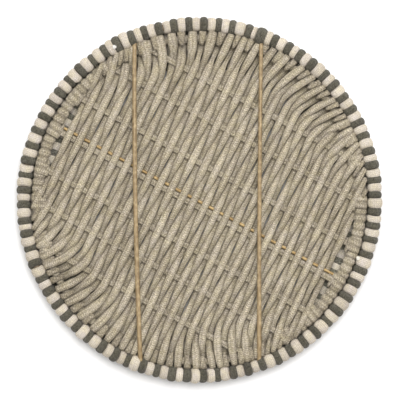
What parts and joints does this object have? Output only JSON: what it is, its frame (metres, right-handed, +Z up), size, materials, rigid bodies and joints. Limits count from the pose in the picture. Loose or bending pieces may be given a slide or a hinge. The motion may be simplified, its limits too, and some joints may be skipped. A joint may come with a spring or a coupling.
{
  "type": "chair seat pad",
  "caption": "Round seat pad of flat cord woven across a wound ring, with a striped cord rim and back border, and cane rods that support the weave from rim to rim.",
  "frame": {"origin": "centre of the pad, on the surface that its back border stands on", "axes": "+Z up, out of the woven face; +Y along the support rods, +X across them, with the weave's cross cords falling to the +X side"},
  "size_m": [0.4, 0.4, 0.0298],
  "materials": {
    "cord_cream": "braided cotton cord, matt cream",
    "cord_dark": "braided cotton cord, matt dark grey-green",
    "cord_sage": "flat braided cord, matt sage and khaki",
    "cane": "split cane, satin, warm tan",
    "thread": "white cotton thread"
  },
  "bodies": {
    "root": {"outer_ring": "cane", "rim_cord_dark": "cord_dark", "rim_cord_cream": "cord_cream", "back_hoop": "cane", "inner_ring": "cane", "ring_winding": "cord_sage", "cross_cord_1": "cord_sage", "cross_cord_2": "cord_sage", "cross_cord_3": "cord_sage", "cross_cord_4": "cord_sage", "cross_cord_5": "cord_sage", "cross_cord_6": "cord_sage", "cross_cord_7": "cord_sage", "diagonal_rod": "cane", "left_rod": "cane", "right_rod": "cane", "strand_pair_01": "cord_sage", "strand_pair_02": "cord_sage", "strand_pair_03": "cord_sage", "strand_pair_04": "cord_sage", "strand_pair_05": "cord_sage", "strand_pair_06": "cord_sage", "strand_pair_07": "cord_sage", "strand_pair_08": "cord_sage", "strand_pair_09": "cord_sage", "strand_pair_10": "cord_sage", "strand_pair_11": "cord_sage", "strand_pair_12": "cord_sage", "strand_pair_13": "cord_sage", "strand_pair_14": "cord_sage", "strand_pair_15": "cord_sage", "strand_pair_16": "cord_sage", "strand_pair_17": "cord_sage", "strand_pair_18": "cord_sage", "strand_pair_19": "cord_sage", "strand_pair_20": "cord_sage", "strand_pair_21": "cord_sage", "strand_pair_22": "cord_sage", "strand_pair_23": "cord_sage", "strand_pair_24": "cord_sage", "knot_top_left": "thread", "knot_right": "thread"}
  },
  "joints": []
}
